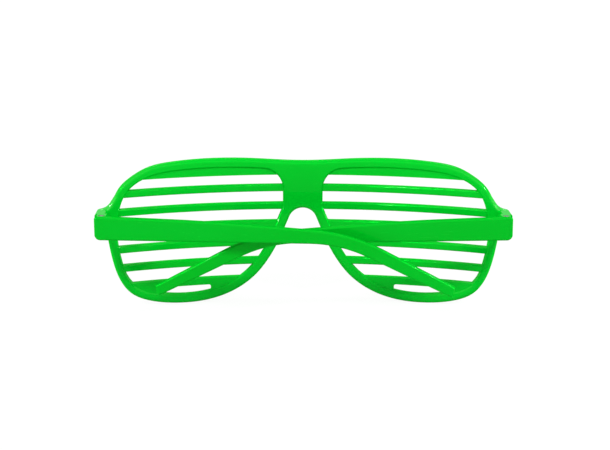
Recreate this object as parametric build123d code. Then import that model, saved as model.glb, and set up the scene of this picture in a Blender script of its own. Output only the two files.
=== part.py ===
from build123d import *
from build123d import SkipClean
import math
import os

# Slatted novelty glasses, folded as they lie on a table, seen from the wearer's side.
# X runs to the wearer's right, Y the way the wearer looks, and Z up.
# While the pieces are built, the hinge axes stand in the plane y = 0 and the rims stand on z = 0.

# The front as a whole: its rims wrap round the face, and stand forward of the hinges
overall_width = 146.0
front_height = 52.75
wrap_radius = 165.0
hinge_setback = 7.2
end_reach = 3.2

# Rims, bridge and nose arch
rim_width = 3.2
rim_depth = 4.0
rim_rear_round = 1.35
rim_front_bevel = 0.9
pocket_bevel = 0.45
bridge_half_width = 7.2
bridge_height = 17.32
bridge_top_round = 7.6
bridge_low_round = 4.0
arch_radius = 5.25
arch_lean_deg = 23.0

# The rim's outline from the middle of the brow, round the outside and up to the nose arch,
# as shares of the half width and of the height
outline_shares = [
    (0.0, 0.977), (0.2765, 0.995), (0.5315, 1.0), (0.676, 0.9886), (0.796, 0.9594),
    (0.8715, 0.908), (0.9384, 0.8307), (0.967, 0.758), (1.0, 0.584), (0.9943, 0.488),
    (0.974, 0.3395), (0.9387, 0.1966), (0.882, 0.0933), (0.8004, 0.0366), (0.657, 0.0017),
    (0.5056, 0.0087), (0.349, 0.0764), (0.235, 0.191), (0.18, 0.285), (0.1347, 0.3884),
]

# Places along that outline, as shares of its length, each with the rim's width there
# as a share of rim_width
width_shares = [
    (0.0, 1.0), (0.12, 1.0), (0.24, 1.0), (0.31, 1.0), (0.36, 0.98), (0.41, 1.03),
    (0.47, 1.0), (0.53, 0.87), (0.575, 0.84), (0.61, 0.95), (0.66, 1.0), (0.72, 1.0),
    (0.78, 1.02), (0.84, 1.05), (0.9, 1.07), (0.95, 1.1), (1.0, 1.125),
]
on_wrap_share = 1e-5

# Slats, the band over them and the web with its slot under them. The slats' top faces
# lie at these shares of the way from the web up to the band.
slat_top_shares = [0.904, 0.7285, 0.5522, 0.3712, 0.188]
slat_height = 2.55
slat_depth = 2.9
slat_recess = 0.55
slat_round = 0.45
band_height = 6.2
web_top_z = 8.83
web_bar_height = 2.46
slot_length = 18.0
slot_middle_share = 0.609
slot_end_round = 0.7
rim_seat = 0.6

# End pieces
end_thickness = 3.4
end_corner_round = 2.4
end_top_round = 0.7
end_low_round = 2.0
flare_radius = 4.2
flare_start = 0.9
flare_turn_deg = 57.0
flare_rise = 5.0
leg_root_round = 1.0

# Hinges
axis_inset = 2.6
butt_reach = 2.2
butt_gap = 0.1
hinge_drop = 15.88
hinge_height = 8.33
lug_height = 2.6
lug_radius = 1.6
lug_gap = 0.15
pin_radius = 0.6
pin_gap = 0.05
head_radius = 1.0
head_height = 0.5
head_sink = 0.55
head_gap = 0.1
screw_slot_width = 0.3
screw_slot_depth = 0.25

# Temples: a folded one ends this far short of the other hinge, and its ear hook is measured
# from the tip back, along its top and along its underside
tip_room = 18.2
arm_thickness = 3.0
tip_thickness = 2.3
arm_round = 0.7
butt_top_round = 0.9
butt_low_round = 2.0
arm_drop = 27.65
tip_height = 3.65
tip_slant = 1.0
knee_share = 0.294
butt_slope_deg = 2.1
arm_slope_deg = 4.2
low_slope_deg = 0.48
knee_radius = 600.0
hook_top_length = 36.0
hook_top_radius = 66.0
hook_low_length = 39.6
hook_low_radius = 47.0

# How the temples lie: each angle is measured from the line between the hinges, towards open.
# The left one lies over the right one, and each has a little play on its screw.
quarter_deg = 90.0
left_fold_deg = 4.5
left_play_deg = 0.6
right_fold_deg = -0.5
right_play_deg = -0.45

# Worked out from the sizes above
end_x = overall_width / 2
rim_half_width = end_x - end_reach
wrap_centre_y = hinge_setback - math.sqrt(wrap_radius**2 - end_x**2)
brow_z = outline_shares[0][1] * front_height
arch_centre_z = brow_z - bridge_height - arch_radius
slat_rear_radius = wrap_radius + slat_recess
band_bottom_z = front_height - band_height
slat_tops = [web_top_z + share * (band_bottom_z - web_top_z) for share in slat_top_shares]
slot_top_z = web_top_z - web_bar_height
slot_middle_x = slot_middle_share * rim_half_width
axis_x = end_x - axis_inset
hinge_high_z = front_height - hinge_drop
hinge_low_z = hinge_high_z - hinge_height
hinge_mid_z = (hinge_low_z + hinge_high_z) / 2
arm_reach = 2 * axis_x - tip_room
leg_inner_x = end_x - end_thickness
butt_y = butt_reach + butt_gap
arm_inner_y = arm_thickness - axis_inset
low_lug_z = hinge_low_z + lug_height
high_lug_z = hinge_high_z - lug_height
hole_radius = pin_radius + pin_gap


def upright(sketch):
    """Stand a sketch up, so that its second axis is Z, and run it forwards through the front."""
    return extrude(Plane.XZ * sketch, amount=wrap_radius, dir=(0, 1, 0))


def ring(inner_radius, depth, low_z, high_z):
    """A ring round the wrap's axis, which the front is cut from."""
    height = high_z - low_z
    outer = Cylinder(inner_radius + depth, height)
    inner = Cylinder(inner_radius, height)
    return Pos(0, wrap_centre_y, (low_z + high_z) / 2) * (outer - inner)


def box_between(low, high):
    """A box from its lowest corner to its highest."""
    size = [b - a for a, b in zip(low, high)]
    middle = [(a + b) / 2 for a, b in zip(low, high)]
    return Pos(*middle) * Box(*size)


def rect_between(low_x, low_y, high_x, high_y):
    """A rectangle from corner to corner."""
    shape = Rectangle(high_x - low_x, high_y - low_y)
    return Pos((low_x + high_x) / 2, (low_y + high_y) / 2) * shape


def other_side(solid):
    """The mirror image across the nose."""
    return mirror(solid, about=Plane.YZ)


def rear_y(x, radius=wrap_radius):
    """How far forward the wrap of this radius lies at this distance from the middle."""
    return wrap_centre_y + math.sqrt(radius**2 - x**2)


def nose_arch(radius):
    """The arc over the nose's right half, up from where the rim's leaning side meets it."""
    return CenterArc((0, arch_centre_z), radius, arch_lean_deg, quarter_deg - arch_lean_deg)


def outer_curve():
    """The outline of the right rim, from the middle of the brow round to the nose arch."""
    points = [(x * rim_half_width, z * front_height) for x, z in outline_shares]
    arch = nose_arch(arch_radius)
    return Spline(*points, arch @ 0, tangents=[(1, 0), arch % 0])


def inset_points(amount):
    """Points inside the outline, by this much where the rim is as wide as rim_width."""
    curve = outer_curve()
    points = []
    for share, width_share in width_shares:
        along = curve % share
        points.append(curve @ share + Vector(along.Y, -along.X) * amount * width_share)
    return points


def half_face(curve, arch):
    """The face between the middle of the nose and a rim's curve."""
    middle = Line(arch @ 1, curve @ 0)
    return make_face([*curve.edges(), arch.edge(), middle.edge()])


def rounded_corner(face, radius, place):
    """Round the corner of a face that lies nearest to a place."""
    nearest = face.vertices().sort_by_distance(place)[0]
    return fillet(nearest, radius)


def inside_rim(curve, inset, near_x):
    """The face inside a curve that runs this far inside the outline, cut off beside the bridge."""
    arch = nose_arch(arch_radius + inset * width_shares[-1][1])
    return half_face(curve, arch) & rect_between(near_x, 0, rim_half_width, front_height)


def eye_face():
    """The pocket inside one rim, with its corners beside the bridge rounded."""
    curve = Spline(*inset_points(rim_width), tangents=[(1, 0), nose_arch(arch_radius) % 0])
    face = inside_rim(curve, rim_width, bridge_half_width)
    face = rounded_corner(face, bridge_top_round, (bridge_half_width, front_height))
    return rounded_corner(face, bridge_low_round, (bridge_half_width, arch_centre_z + arch_radius))


def edges_on_wrap(solid, radius):
    """The edges that lie all along the wrap of this radius."""

    def lies_on(edge):
        places = [edge @ share for share in (0, 0.25, 0.5, 0.75, 1)]
        reach = [math.hypot(p.X, p.Y - wrap_centre_y) for p in places]
        return max(abs(r - radius) for r in reach) < radius * on_wrap_share

    return solid.edges().filter_by(lies_on)


def round_pocket(edge):
    """Whether an edge on the wrap belongs to a pocket: the outline's edges all reach the middle."""
    box = edge.bounding_box()
    return box.min.X > rim_width or box.max.X < -rim_width


def rims(eye):
    """Both rims with the bridge: a wrapped plate with round edges behind, and the pockets cut through it."""
    half = half_face(outer_curve(), nose_arch(arch_radius))
    plate = upright(half + mirror(half, about=Plane.YZ))
    plate = plate & ring(wrap_radius, rim_depth, -rim_width, front_height + rim_width)
    plate = fillet(edges_on_wrap(plate, wrap_radius), rim_rear_round)
    plate = chamfer(edges_on_wrap(plate, wrap_radius + rim_depth), rim_front_bevel)
    plate = plate - upright(eye) - other_side(upright(eye))
    for radius in (wrap_radius, wrap_radius + rim_depth):
        plate = chamfer(edges_on_wrap(plate, radius).filter_by(round_pocket), pocket_bevel)
    return plate


def slat(seat, top_z):
    """One slat: a wrapped bar with rounded edges, from rim to rim."""
    bar = ring(slat_rear_radius, slat_depth, top_z - slat_height, top_z)
    bar = fillet(bar.edges().filter_by(GeomType.CIRCLE), slat_round)
    return bar & seat


def slot_face(eye):
    """The slot in the web: it follows the rim below, and has round ends."""
    low_x = slot_middle_x - slot_length / 2
    face = eye & rect_between(low_x, 0, low_x + slot_length, slot_top_z)
    return fillet(face.vertices(), slot_end_round)


def eye_filling(eye):
    """What fills one pocket: the band under the brow, the slats and the web with its slot."""
    middle = rim_width / 2
    seat = upright(inside_rim(Polyline(*inset_points(middle)), middle, bridge_half_width - rim_seat))
    band = ring(slat_rear_radius, slat_depth, band_bottom_z, front_height) & seat
    web = ring(slat_rear_radius, slat_depth, 0, web_top_z) & seat
    web = web - upright(slot_face(eye))
    return [band, web] + [slat(seat, top_z) for top_z in slat_tops]


def flare():
    """The end piece seen from behind: level along the top, then swept up and run straight into the rim."""
    swept_x = end_x - flare_start
    sweep_up = CenterArc((swept_x, hinge_high_z + flare_radius), flare_radius, -quarter_deg, -flare_turn_deg)
    top = sweep_up @ 1 + (sweep_up % 1) * flare_rise
    outline = Polyline(
        sweep_up @ 1,
        top,
        (top.X - rim_width / 4, top.Y),
        (rim_half_width - rim_width / 2, hinge_low_z),
        (end_x, hinge_low_z),
        (end_x, hinge_high_z),
        (swept_x, hinge_high_z),
    )
    plate = upright(make_face([*outline.edges(), sweep_up.edge()]))
    plate = plate & ring(wrap_radius, rim_depth, 0, front_height)
    swept = sweep_up @ 0.5
    rear_edge = plate.edges().sort_by_distance((swept.X, rear_y(swept.X), swept.Y))[0]
    return fillet(rear_edge, rim_rear_round)


def lug(low_z):
    """One lug of the right hinge: an eye on the axis with a web into the end piece."""
    body = Pos(axis_x, 0, low_z + lug_height / 2) * Cylinder(lug_radius, lug_height)
    low = (axis_x - lug_radius, 0, low_z)
    return body + box_between(low, (axis_x + lug_radius, butt_y + rim_seat, low_z + lug_height))


def pin_space(radius, low_z, high_z):
    """A cylinder on the right hinge axis."""
    return Pos(axis_x, 0, (low_z + high_z) / 2) * Cylinder(radius, high_z - low_z)


def end_piece():
    """The right end piece: the flare off the rim, the leg back to the hinge, and the two lugs."""
    leg = box_between((leg_inner_x, butt_y, hinge_low_z), (end_x, wrap_radius, hinge_high_z))
    leg = leg & Pos(0, wrap_centre_y, hinge_mid_z) * Cylinder(wrap_radius + rim_depth, front_height)
    body = flare() + leg
    corner = (end_x, rear_y(end_x, wrap_radius + rim_depth), hinge_mid_z)
    body = fillet(body.edges().filter_by(Axis.Z).sort_by_distance(corner)[0], end_corner_round)
    root = (leg_inner_x, rear_y(leg_inner_x), hinge_mid_z)
    body = fillet(body.edges().filter_by(Axis.Z).sort_by_distance(root)[0], leg_root_round)
    for level, radius in ((hinge_low_z, end_low_round), (hinge_high_z, end_top_round)):
        outside = (end_x, butt_y + butt_reach, level)
        body = fillet(body.edges().sort_by_distance(outside)[0], radius)
    body = body + lug(hinge_low_z) + lug(high_lug_z)
    body = body - pin_space(pin_radius, hinge_low_z, low_lug_z)
    body = body - pin_space(hole_radius, high_lug_z, hinge_high_z)
    return body - pin_space(head_radius + head_gap, hinge_high_z - head_sink, hinge_high_z)


def front_frame():
    """The whole front, fused from its right half and that half's mirror image."""
    eye = eye_face()
    half = rims(eye) & box_between((0, 0, -rim_width), (end_x, wrap_radius, front_height + rim_width))
    half = half.fuse(*eye_filling(eye), end_piece())
    with SkipClean():
        return half + other_side(half)


def hinge_screw():
    """The right hinge screw: the lower lug holds its shank, and its slotted head is sunk in the upper."""
    head_low_z = hinge_high_z - head_sink
    head_high_z = head_low_z + head_height
    shank = pin_space(pin_radius, hinge_low_z + head_gap, head_low_z)
    head = pin_space(head_radius, head_low_z, head_high_z)
    slot_low = (axis_x - head_radius, -screw_slot_width / 2, head_high_z - screw_slot_depth)
    return shank + head - box_between(slot_low, (axis_x + head_radius, screw_slot_width / 2, head_high_z))


def arm_face():
    """A right temple's outline, folded straight along the front, from the butt to the ear hook's tip."""
    butt_x = axis_x + butt_reach
    tip_x = axis_x - arm_reach
    tip_z = hinge_high_z - arm_drop
    knee_x = axis_x - knee_share * arm_reach
    top_x = tip_x + hook_top_length
    low_x = tip_x + hook_low_length
    knee_z = hinge_high_z - (butt_x - knee_x) * math.tan(math.radians(butt_slope_deg))
    top_z = knee_z - (knee_x - top_x) * math.tan(math.radians(arm_slope_deg))
    low_z = hinge_low_z - (butt_x - low_x) * math.tan(math.radians(low_slope_deg))
    rounded = [
        ((butt_x, hinge_high_z), butt_top_round),
        ((knee_x, knee_z), knee_radius),
        ((top_x, top_z), hook_top_radius),
        ((low_x, low_z), hook_low_radius),
        ((butt_x, hinge_low_z), butt_low_round),
    ]
    places = [place for place, radius in rounded]
    tip = [(tip_x, tip_z + tip_height), (tip_x + tip_slant, tip_z)]
    face = make_face(Polyline(*places[:3], *tip, *places[3:], close=True))
    for place, radius in rounded:
        face = rounded_corner(face, radius, place)
    return face


def lug_room(low_z, high_z):
    """What one lug needs inside the temple's butt over the whole swing."""
    room_radius = lug_radius + lug_gap
    beside = (axis_x - room_radius, 0, low_z)
    outboard = (axis_x, -room_radius, low_z)
    room = pin_space(room_radius, low_z, high_z)
    room = room + box_between(beside, (axis_x + room_radius, arm_thickness, high_z))
    return room + box_between(outboard, (axis_x + arm_thickness, arm_thickness, high_z))


def temple(fold_deg, tilt_deg):
    """A right temple with its tongue between the lugs, turned on its screw to where it lies."""
    arm = Pos(0, -axis_inset, 0) * extrude(Plane.XZ * arm_face(), amount=arm_thickness, dir=(0, 1, 0))
    plan = Polyline(
        (axis_x + butt_reach, -axis_inset),
        (axis_x - arm_reach, -axis_inset),
        (axis_x - arm_reach, tip_thickness - axis_inset),
        (axis_x + butt_reach, arm_inner_y),
        close=True,
    )
    arm = arm & extrude(make_face(plan), amount=front_height, dir=(0, 0, 1))
    across = arm.edges().filter_by(lambda edge: edge.bounding_box().size.Y > tip_thickness / 2)
    arm = fillet(arm.edges() - across, arm_round)
    arm = arm + pin_space(lug_radius, low_lug_z + lug_gap, high_lug_z - lug_gap)
    arm = arm - lug_room(0, low_lug_z + lug_gap) - lug_room(high_lug_z - lug_gap, front_height)
    arm = arm - pin_space(hole_radius, 0, front_height)
    to_hinge = Pos(axis_x, 0, hinge_mid_z)
    return to_hinge * Rot(0, 0, fold_deg) * Rot(0, tilt_deg, 0) * to_hinge.inverse() * arm


pieces = {
    "front_frame": front_frame(),
    "right_temple": temple(right_fold_deg, right_play_deg),
    "left_temple": other_side(temple(left_fold_deg, left_play_deg)),
    "right_hinge_screw": hinge_screw(),
    "left_hinge_screw": other_side(hinge_screw()),
}

# The glasses stand on z = 0, and the origin lies midway between their front and their back
boxes = [piece.bounding_box() for piece in pieces.values()]
front_y = max(box.max.Y for box in boxes)
back_y = min(box.min.Y for box in boxes)
low_z = min(box.min.Z for box in boxes)
to_origin = Pos(0, -(front_y + back_y) / 2, -low_z)

os.makedirs("parts", exist_ok=True)
for name, piece in pieces.items():
    export_step(to_origin * piece, f"parts/{name}.step")

hinge = to_origin.position
print("right hinge axis at", axis_x, hinge.Y, hinge.Z + hinge_mid_z)
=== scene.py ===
import math

import bpy
from mathutils import Euler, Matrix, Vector


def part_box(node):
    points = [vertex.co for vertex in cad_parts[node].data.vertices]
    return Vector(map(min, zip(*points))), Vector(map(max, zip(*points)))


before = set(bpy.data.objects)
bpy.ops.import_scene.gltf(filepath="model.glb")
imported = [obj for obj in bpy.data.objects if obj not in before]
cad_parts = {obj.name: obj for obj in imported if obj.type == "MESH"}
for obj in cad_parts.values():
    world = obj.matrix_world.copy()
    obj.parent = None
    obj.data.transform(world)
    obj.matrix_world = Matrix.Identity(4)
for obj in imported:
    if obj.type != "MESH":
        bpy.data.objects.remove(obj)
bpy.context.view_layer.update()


class Socket:
    """A shader output that takes part in plain arithmetic."""

    def __init__(self, nodes, output):
        self.nodes = nodes
        self.output = output

    def _math(self, operation, first, second):
        return self.nodes.add("ShaderNodeMath", {"operation": operation}, {0: first, 1: second})

    def __add__(self, other):
        return self._math("ADD", self, other)

    def __radd__(self, other):
        return self._math("ADD", other, self)

    def __sub__(self, other):
        return self._math("SUBTRACT", self, other)

    def __rsub__(self, other):
        return self._math("SUBTRACT", other, self)

    def __mul__(self, other):
        return self._math("MULTIPLY", self, other)

    def __rmul__(self, other):
        return self._math("MULTIPLY", other, self)

    def clamped(self):
        return self.nodes.add("ShaderNodeClamp", {}, {"Value": self})

    def ramp(self, low, high):
        """0 up to low, 1 from high on, and a straight rise between them."""
        return ((self - low) * (1.0 / (high - low))).clamped()


class NodeTree:
    """The nodes of a material or of the world: one method adds every kind of node."""

    def __init__(self, owner, output_kind="ShaderNodeOutputMaterial"):
        owner.use_nodes = True
        self.owner = owner
        self.tree = owner.node_tree
        self.tree.nodes.clear()
        self.output = self.tree.nodes.new(output_kind)

    def add(self, kind, settings, values, out=0):
        """Add a node, set it up, give its inputs their values or links, and return an output."""
        node = self.tree.nodes.new(kind)
        for key, setting in settings.items():
            setattr(node, key, setting)
        for key, value in values.items():
            if isinstance(value, Socket):
                self.tree.links.new(value.output, node.inputs[key])
            else:
                node.inputs[key].default_value = value
        return Socket(self, node.outputs[out])

    def place(self, scale=(1, 1, 1), turn=(0, 0, 0), shift=(0, 0, 0)):
        """Object coordinates, moved so that the pattern sits on its piece."""
        coordinates = self.add("ShaderNodeTexCoord", {}, {}, "Object")
        return self.add("ShaderNodeMapping", {}, {
            "Vector": coordinates, "Location": shift, "Rotation": turn, "Scale": scale})

    def noise(self, vector, scale, detail, roughness):
        """A noise pattern with so many waves to the metre."""
        return self.add("ShaderNodeTexNoise", {"noise_dimensions": "3D"}, {
            "Vector": vector, "Scale": scale, "Detail": detail, "Roughness": roughness})

    def mix(self, factor, first, second):
        """A colour between two colours: a Mix node takes them at 6 and 7 and gives it at 2."""
        return self.add("ShaderNodeMix", {"data_type": "RGBA"}, {0: factor, 6: first, 7: second}, 2)

    def seen(self):
        """1 on a ray that shows a surface, straight, in gloss or through glass, and 0 on the rest."""
        straight = self.add("ShaderNodeLightPath", {}, {}, "Is Camera Ray")
        glossy = self.add("ShaderNodeLightPath", {}, {}, "Is Glossy Ray")
        through = self.add("ShaderNodeLightPath", {}, {}, "Is Transmission Ray")
        return (straight + glossy + through).clamped()

    def surface(self, shader):
        self.tree.links.new(shader.output, self.output.inputs["Surface"])
        return self.owner


# Finishes: places are in metres, turns in radians, and a noise is its scale, detail and roughness
thin_coat = 0.017


def polished_tops(nodes):
    """The extra gloss of faces that look up: some near the front's ends, most on its end pieces."""
    slope_from = 0.15
    slope_full = 0.48
    near_ends_from = 0.0412
    near_ends_full = 0.0580
    near_ends_gloss = 0.05
    end_pieces_from = 0.0656
    end_pieces_full = 0.0675
    end_pieces_gloss = 0.20
    normal = nodes.add("ShaderNodeTexCoord", {}, {}, "Normal")
    upward = nodes.add("ShaderNodeSeparateXYZ", {}, {"Vector": normal}, "Z")
    coordinates = nodes.add("ShaderNodeTexCoord", {}, {}, "Object")
    across = nodes.add("ShaderNodeSeparateXYZ", {}, {"Vector": coordinates}, "X")
    near_ends = (across * across).ramp(near_ends_from ** 2, near_ends_full ** 2)
    end_pieces = (across * across).ramp(end_pieces_from ** 2, end_pieces_full ** 2)
    gloss = near_ends * near_ends_gloss + end_pieces * end_pieces_gloss
    return upward.ramp(slope_from, slope_full) * gloss


def moulded_plastic(name, flow_turn, dark, light, polished=False):
    """Bright green moulded plastic, with flow bands, a faint skin texture and hairline scuffs.

    The green is so pure that a clear gloss would wash it out. Its soft highlights come from a small
    metallic share, which keeps them green, and its sharp ones from a thin coat.
    """
    flow_stretch = (0.25, 1.0, 1.0)
    flow_noise = (60.0, 2.0, 0.45)
    cloud_noise = (24.0, 1.0, 0.5)
    skin_noise = (900.0, 2.0, 0.5)
    scuff_stretch = (0.06, 1.0, 1.0)
    scuff_turn = (0.15, 0.1, 0.35)
    scuff_noise = (2600.0, 2.0, 0.6)
    scuff_from = 0.66
    scuff_full = 0.77
    scuff_green = (0.06, 0.62, 0.10, 1.0)
    scuff_strength = 0.12
    flow_share = 0.6
    cloud_share = 0.4
    pigment_from = 0.1875
    pigment_full = 0.8125
    skin_height = 0.5
    flow_height = 0.35
    scuff_depth = 0.25
    relief = 0.0001
    relief_strength = 0.06
    smoothest = 0.17
    cloud_roughness = 0.08
    skin_roughness = 0.04
    scuff_roughness = 0.2
    metallic_share = 0.13
    metallic_edge = (0.2, 1.0, 0.4, 1.0)
    coat_ior = 2.6
    coat_roughness = 0.05

    nodes = NodeTree(bpy.data.materials.new(name))
    along = nodes.place(turn=flow_turn)
    flow = nodes.noise(nodes.place(scale=flow_stretch, turn=flow_turn), *flow_noise)
    cloud = nodes.noise(along, *cloud_noise)
    skin = nodes.noise(along, *skin_noise)
    scuff_field = nodes.noise(nodes.place(scale=scuff_stretch, turn=scuff_turn), *scuff_noise)
    scuffs = scuff_field.ramp(scuff_from, scuff_full)
    pigment = (flow * flow_share + cloud * cloud_share).ramp(pigment_from, pigment_full)
    colour = nodes.mix(pigment, dark, light)
    colour = nodes.mix(scuffs * scuff_strength, colour, scuff_green)
    height = skin * skin_height + flow * flow_height - scuffs * scuff_depth
    bump = nodes.add("ShaderNodeBump", {}, {
        "Strength": relief_strength, "Distance": relief, "Height": height})
    roughness = smoothest + cloud * cloud_roughness + skin * skin_roughness + scuffs * scuff_roughness
    coat = polished_tops(nodes) + thin_coat if polished else thin_coat
    return nodes.surface(nodes.add("ShaderNodeBsdfPrincipled", {}, {
        "Base Color": colour, "Roughness": roughness, "Normal": bump,
        "Metallic": metallic_share, "Specular Tint": metallic_edge, "Specular IOR Level": 0.0,
        "Coat Weight": coat, "Coat IOR": coat_ior, "Coat Roughness": coat_roughness}))


def turned_steel(name, centre):
    """Grey screw steel, with the lathe's fine rings round the screw's own axis and a few dark pits."""
    ring_scale = 2200.0
    ring_waver = 1.2
    ring_detail = 2.0
    ring_detail_scale = 3.0
    grain_noise = (3200.0, 3.0, 0.6)
    pit_from = 0.62
    pit_full = 0.745
    pit_strength = 0.5
    dark_steel = (0.22, 0.21, 0.21, 1.0)
    light_steel = (0.32, 0.31, 0.31, 1.0)
    pit_grey = (0.14, 0.13, 0.12, 1.0)
    edge_grey = (0.4, 0.4, 0.4, 1.0)
    ring_height = 0.6
    grain_height = 0.4
    relief = 0.00004
    relief_strength = 0.2
    smoothest = 0.26
    grain_roughness = 0.16
    pit_roughness = 0.2

    nodes = NodeTree(bpy.data.materials.new(name))
    local = nodes.place(shift=(-centre[0], -centre[1], 0.0))
    rings = nodes.add("ShaderNodeTexWave", {
        "wave_type": "RINGS", "rings_direction": "Z", "wave_profile": "SIN"}, {
        "Vector": local, "Scale": ring_scale, "Distortion": ring_waver,
        "Detail": ring_detail, "Detail Scale": ring_detail_scale}, "Fac")
    grain = nodes.noise(local, *grain_noise)
    pits = grain.ramp(pit_from, pit_full)
    colour = nodes.mix(rings, dark_steel, light_steel)
    colour = nodes.mix(pits * pit_strength, colour, pit_grey)
    bump = nodes.add("ShaderNodeBump", {}, {
        "Strength": relief_strength, "Distance": relief,
        "Height": rings * ring_height + grain * grain_height})
    roughness = smoothest + grain * grain_roughness + pits * pit_roughness
    return nodes.surface(nodes.add("ShaderNodeBsdfPrincipled", {}, {
        "Base Color": colour, "Roughness": roughness, "Normal": bump,
        "Metallic": 1.0, "Specular Tint": edge_grey}))


def put_on(node, material):
    """Give a CAD node its finish."""
    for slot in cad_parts[node].material_slots:
        slot.material = material


def dress():
    # The front and the temples share one green plastic; the front's greens are set a little lighter,
    # as painted light, and the temples' a little darker, as painted shade.
    front_greens_painted_lighter = (0.0, 0.500, 0.016, 1.0), (0.0, 0.580, 0.026, 1.0)
    temple_greens_painted_darker = (0.0, 0.438, 0.012, 1.0), (0.0, 0.508, 0.021, 1.0)
    front_flow = (0.0, 0.0, 0.0)
    temple_slope = math.radians(2.0)
    left_twist = 0.1
    temple_flows = {
        "right_temple": (0.0, temple_slope, 0.0),
        "left_temple": (0.0, -temple_slope, left_twist)}
    put_on("front_frame", moulded_plastic("front_plastic", front_flow, *front_greens_painted_lighter, polished=True))
    for temple, flow in temple_flows.items():
        put_on(temple, moulded_plastic(f"{temple}_plastic", flow, *temple_greens_painted_darker))
    for side in ("left", "right"):
        low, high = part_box(f"{side}_hinge_screw")
        centre = [(a + b) / 2 for a, b in zip(low, high)]
        put_on(f"{side}_hinge_screw", turned_steel(f"{side}_screw_steel", centre))


# Camera: behind and above the glasses, aimed about midway between the hinges. Its lens is in pixels
# of the photograph, and middle_px is the column that its axis meets
look_at = Vector((0.0, -0.008031, 0.033615))
down = math.radians(13.0)
aside = math.radians(-1.4)
tilt = math.radians(0.36)
reach = 0.5219
image_width = 610
focal_px = 1500.0
middle_px = 304.3
sensor_mm = 36.0
nearest_seen = 0.01
furthest_seen = 20.0


def make_camera():
    data = bpy.data.cameras.new("photo_camera")
    data.sensor_fit = "HORIZONTAL"
    data.sensor_width = sensor_mm
    data.lens = focal_px * sensor_mm / image_width
    data.shift_x = (image_width / 2 - middle_px) / image_width
    data.clip_start = nearest_seen
    data.clip_end = furthest_seen
    camera = bpy.data.objects.new("photo_camera", data)
    bpy.context.scene.collection.objects.link(camera)
    level = math.radians(90.0)
    turn = Euler((level - down, 0.0, aside), "XYZ").to_matrix()
    camera.location = look_at + reach * (turn @ Vector((0.0, 0.0, 1.0)))
    turn = turn @ Euler((0.0, 0.0, tilt), "XYZ").to_matrix()
    camera.rotation_euler = turn.to_euler()
    bpy.context.scene.camera = camera


# Studio: each soft box has its place, its width and height, and its power in watts
aim_point = Vector((0.0, 0.0, 0.03))
middle_boxes = {
    "key_lamp": ((0.0, -1.62, 1.45), (1.6, 1.0), 4.0),
    "front_lamp": ((0.0, 1.55, 1.15), (1.2, 0.8), 10.0)}
paired_boxes = {
    "rear_lamp": ((1.06, -1.09, 1.34), (0.12, 0.38), 15.5),
    "side_lamp": ((1.57, -0.17, 0.28), (0.09, 0.30), 12.0)}
room_fill = 0.38
white = (1.0, 1.0, 1.0, 1.0)


def soft_box(name, place, size, watts, side=1):
    """A soft box that looks at the glasses, on the side that 1 or -1 names."""
    data = bpy.data.lights.new(name, "AREA")
    data.shape = "RECTANGLE"
    data.size, data.size_y = size
    data.energy = watts
    lamp = bpy.data.objects.new(name, data)
    bpy.context.scene.collection.objects.link(lamp)
    lamp.location = (side * place[0], place[1], place[2])
    lamp.rotation_euler = (aim_point - lamp.location).to_track_quat("-Z", "Y").to_euler()
    lamp.visible_camera = False


def make_lights():
    for name, box in middle_boxes.items():
        soft_box(name, *box)
    for side in (-1, 1):
        for name, box in paired_boxes.items():
            soft_box(name, *box, side)


def make_room():
    """A white room, which lights the glasses less than it shows."""
    world = bpy.data.worlds.new("studio")
    nodes = NodeTree(world, "ShaderNodeOutputWorld")
    strength = nodes.seen() * (1.0 - room_fill) + room_fill
    nodes.surface(nodes.add("ShaderNodeBackground", {}, {"Color": white, "Strength": strength}))
    bpy.context.scene.world = world


def make_table():
    """A pale table top that shows as white and keeps a breath of the shadow near the glasses."""
    table_size = 6.0
    table_grey = (0.6, 0.6, 0.6, 1.0)
    glow = 1.09
    glow_share = 0.86
    far_from = 0.3
    far_full = 0.8
    nodes = NodeTree(bpy.data.materials.new("white_table"))
    coordinates = nodes.add("ShaderNodeTexCoord", {}, {}, "Object")
    distance = nodes.add("ShaderNodeVectorMath", {"operation": "LENGTH"}, {0: coordinates}, "Value")
    share = distance.ramp(far_from, far_full) * (1.0 - glow_share) + glow_share
    matt = nodes.add("ShaderNodeBsdfDiffuse", {}, {"Color": table_grey})
    glowing = nodes.add("ShaderNodeEmission", {}, {"Color": white, "Strength": glow})
    shader = nodes.add("ShaderNodeMixShader", {}, {0: nodes.seen() * share, 1: matt, 2: glowing})
    bpy.ops.mesh.primitive_plane_add(size=table_size, location=(0.0, 0.0, 0.0))
    table = bpy.context.object
    table.name = "table"
    table.data.materials.append(nodes.surface(shader))


dress()
make_camera()
make_lights()
make_room()
make_table()
bpy.context.scene.view_settings.view_transform = "Standard"
